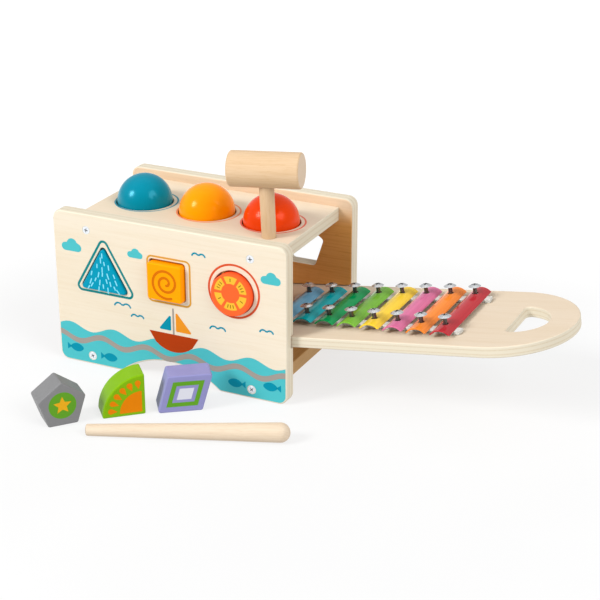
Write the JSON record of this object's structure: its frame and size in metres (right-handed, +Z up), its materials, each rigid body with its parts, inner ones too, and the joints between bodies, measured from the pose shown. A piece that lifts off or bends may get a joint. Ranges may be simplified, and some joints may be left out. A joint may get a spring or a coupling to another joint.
{
  "type": "ball pounding xylophone",
  "caption": "Wooden pounding bench with balls in rubber-ringed holes over a pull-out sloped xylophone, with shape-sorter blocks, a parked hammer and a mallet stick.",
  "frame": {"origin": "on the floor, under the middle of the whole set's box", "axes": "+X along the panels, towards the pulled-out end of the xylophone; +Y from the front panel to the back panel; +Z up"},
  "size_m": [0.4296, 0.2579, 0.1988],
  "materials": {
    "plywood": "satin varnished birch plywood",
    "brace_wood": "plain sanded softwood",
    "turned_wood": "satin turned beech",
    "grip_rubber": "matt black",
    "felt": "white pressed felt",
    "screw_steel": "bright nickel plated",
    "ball_blue": "gloss painted beech",
    "ball_yellow": "gloss painted beech",
    "ball_orange": "gloss painted beech",
    "block_blue": "satin painted wood with a printed face",
    "block_yellow": "satin painted wood with a printed face",
    "block_orange": "satin painted wood with a printed face",
    "block_grey": "satin painted wood with a printed face",
    "block_green": "satin painted wood with a printed face",
    "block_lavender": "satin painted wood with a printed face",
    "bar_red": "gloss lacquered sheet metal",
    "bar_orange": "gloss lacquered sheet metal",
    "bar_pink": "gloss lacquered sheet metal",
    "bar_yellow": "gloss lacquered sheet metal",
    "bar_light_green": "gloss lacquered sheet metal",
    "bar_dark_green": "gloss lacquered sheet metal",
    "bar_teal": "gloss lacquered sheet metal",
    "bar_pale_blue": "gloss lacquered sheet metal"
  },
  "bodies": {
    "frame": {"front_panel": "plywood", "back_panel": "plywood", "top_board": "plywood", "brace_left": "brace_wood", "brace_right": "brace_wood", "front_screws": "screw_steel", "back_screws": "screw_steel", "grip_ring_left": "grip_rubber", "grip_ring_middle": "grip_rubber", "grip_ring_right": "grip_rubber"},
    "xylophone": {"xylophone_board": "plywood", "front_rail": "felt", "back_rail": "felt", "front_bar_screws": "screw_steel", "back_bar_screws": "screw_steel", "bar_1": "bar_red", "bar_2": "bar_orange", "bar_3": "bar_pink", "bar_4": "bar_yellow", "bar_5": "bar_light_green", "bar_6": "bar_dark_green", "bar_7": "bar_teal", "bar_8": "bar_pale_blue"},
    "blue_ball": {"ball_left": "ball_blue"},
    "yellow_ball": {"ball_middle": "ball_yellow"},
    "orange_ball": {"ball_right": "ball_orange"},
    "hammer": {"hammer_head": "turned_wood", "hammer_handle": "turned_wood"},
    "triangle": {"triangle_block": "block_blue"},
    "square": {"square_block": "block_yellow"},
    "round": {"round_block": "block_orange"},
    "pentagon": {"pentagon_block": "block_grey"},
    "quarter": {"quarter_block": "block_green"},
    "rhombus": {"rhombus_block": "block_lavender"},
    "mallet": {"mallet_stick": "turned_wood"}
  },
  "joints": [
    {"name": "board_slide", "type": "slide", "parent": "frame", "child": "xylophone", "axis": [0.9903, 0, 0.1392], "range_m": [-0.147, 0.065]},
    {"name": "blue_ball_drop", "type": "slide", "parent": "frame", "child": "blue_ball", "axis": [0, 0, 1], "range_m": [-0.061, 0.03], "deforming": ["grip_ring_left"]},
    {"name": "yellow_ball_drop", "type": "slide", "parent": "frame", "child": "yellow_ball", "axis": [0, 0, 1], "range_m": [-0.053, 0.03], "deforming": ["grip_ring_middle"]},
    {"name": "orange_ball_drop", "type": "slide", "parent": "frame", "child": "orange_ball", "axis": [0, 0, 1], "range_m": [-0.0445, 0.015], "deforming": ["grip_ring_right"]},
    {"name": "hammer_lift", "type": "slide", "parent": "frame", "child": "hammer", "axis": [-0.0375, -0.008, 0.9993], "range_m": [0, 0.11]},
    {"name": "triangle_push", "type": "slide", "parent": "frame", "child": "triangle", "axis": [0, 1, 0], "range_m": [-0.021, 0.0145]},
    {"name": "square_push", "type": "slide", "parent": "frame", "child": "square", "axis": [0, 1, 0], "range_m": [-0.0175, 0.018]},
    {"name": "round_push", "type": "slide", "parent": "frame", "child": "round", "axis": [0, 1, 0], "range_m": [-0.018, 0.0125]},
    {"name": "pentagon_lift", "type": "slide", "parent": "frame", "child": "pentagon", "axis": [0, 0, 1], "range_m": [0, 0.03]},
    {"name": "quarter_lift", "type": "slide", "parent": "frame", "child": "quarter", "axis": [0, 0, 1], "range_m": [0, 0.03]},
    {"name": "rhombus_lift", "type": "slide", "parent": "frame", "child": "rhombus", "axis": [0, 0, 1], "range_m": [0, 0.03]},
    {"name": "mallet_lift", "type": "slide", "parent": "frame", "child": "mallet", "axis": [0, 0, 1], "range_m": [0, 0.05]}
  ]
}
